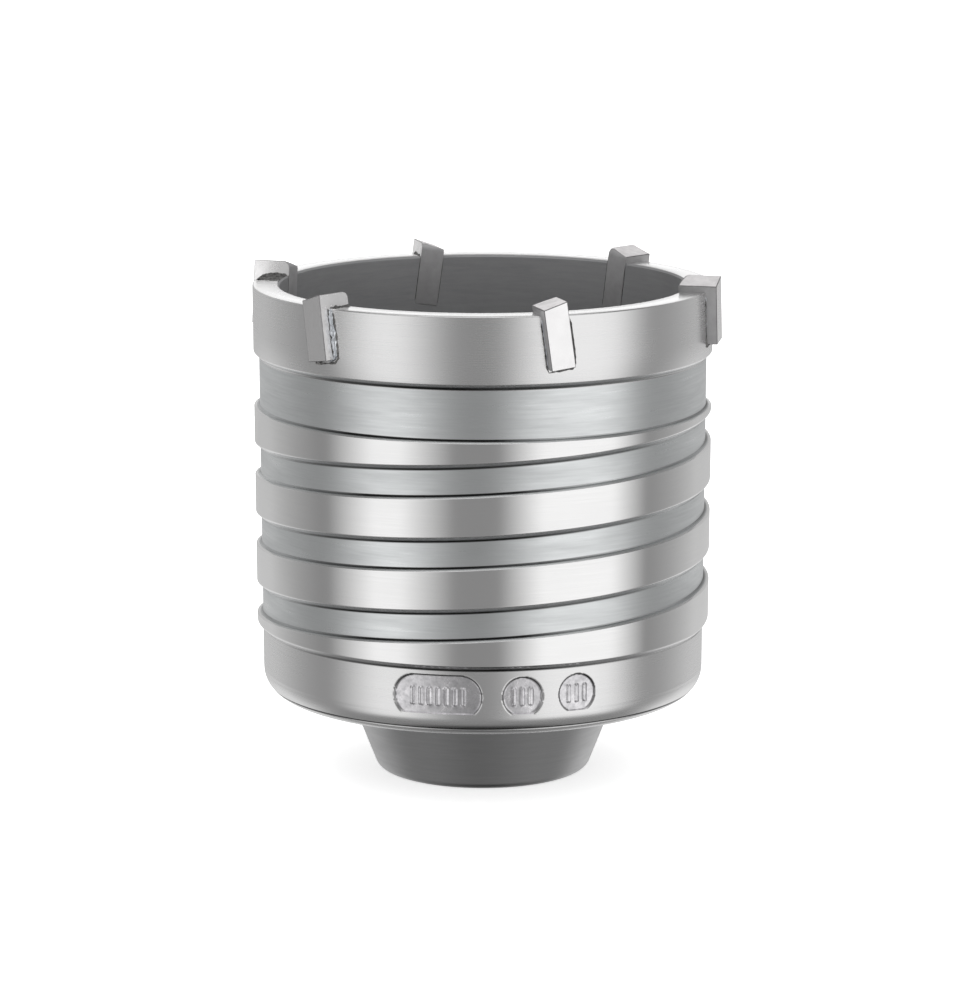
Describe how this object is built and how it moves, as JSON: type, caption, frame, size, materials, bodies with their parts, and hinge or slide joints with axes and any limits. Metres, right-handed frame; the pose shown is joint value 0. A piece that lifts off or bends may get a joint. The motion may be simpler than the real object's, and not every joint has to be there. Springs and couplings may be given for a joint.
{
  "type": "core drill bit",
  "caption": "Cup-shaped masonry core bit with a spiral-grooved steel body, brazed carbide cutting tips round its rim and a threaded hub for a drill shank.",
  "frame": {"origin": "centre of the hub's flat end face, on the drilling axis, which is also the face the bit stands on", "axes": "+Z along the drilling axis towards the cutting rim; -Y is the side the picture shows in front"},
  "size_m": [0.0666, 0.0663, 0.0719],
  "materials": {
    "turned_steel": "bright turned steel with a satin sheen",
    "carbide": "ground sintered carbide, pale grey"
  },
  "bodies": {
    "root": {"body": "turned_steel", "tip_1": "carbide", "tip_2": "carbide", "tip_3": "carbide", "tip_4": "carbide", "tip_5": "carbide", "tip_6": "carbide"}
  },
  "joints": []
}
